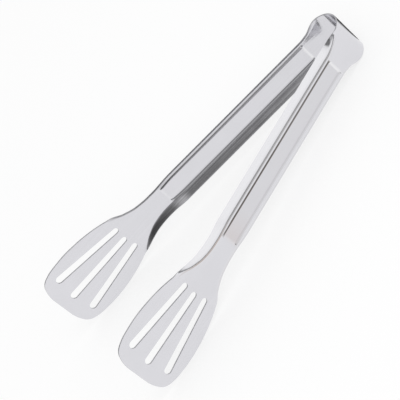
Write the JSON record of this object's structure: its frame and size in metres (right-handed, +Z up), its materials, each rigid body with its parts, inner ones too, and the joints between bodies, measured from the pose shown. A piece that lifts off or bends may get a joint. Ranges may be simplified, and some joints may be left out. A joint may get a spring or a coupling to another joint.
{
  "type": "kitchen tongs",
  "caption": "One-piece stainless spring tongs: a bent bow, two channelled grips with pressed panels and broad slotted spatula blades.",
  "frame": {"origin": "centre of the bounding box on the surface the tongs lie on", "axes": "+X from the blade tips to the bow, +Y towards the left arm, the way the jaws open, +Z up, across the strip"},
  "size_m": [0.2802, 0.1194, 0.0597],
  "materials": {
    "stainless_sheet": "satin stainless sheet, finely brushed along the strip, polished on the blades"
  },
  "bodies": {
    "bow": {"spring_bow": "stainless_sheet"},
    "left_arm": {"left_bow_leg": "stainless_sheet", "left_grip": "stainless_sheet", "left_blade": "stainless_sheet"},
    "right_arm": {"right_bow_leg": "stainless_sheet", "right_grip": "stainless_sheet", "right_blade": "stainless_sheet"}
  },
  "joints": [
    {"name": "left_arm_squeeze", "type": "hinge", "parent": "bow", "child": "left_arm", "pos_m": [0.13533, 0.00937, 0.01639], "axis": [0.0545, 0, 0.9985], "range_deg": [0, 12], "stiffness_Nm_per_rad": 5},
    {"name": "right_arm_squeeze", "type": "hinge", "parent": "bow", "child": "right_arm", "pos_m": [0.13533, -0.00937, 0.01639], "axis": [-0.0545, 0, -0.9985], "range_deg": [0, 12], "stiffness_Nm_per_rad": 5}
  ],
  "couplings": [
    {"joint": "right_arm_squeeze", "follows": "left_arm_squeeze", "ratio": 1}
  ]
}
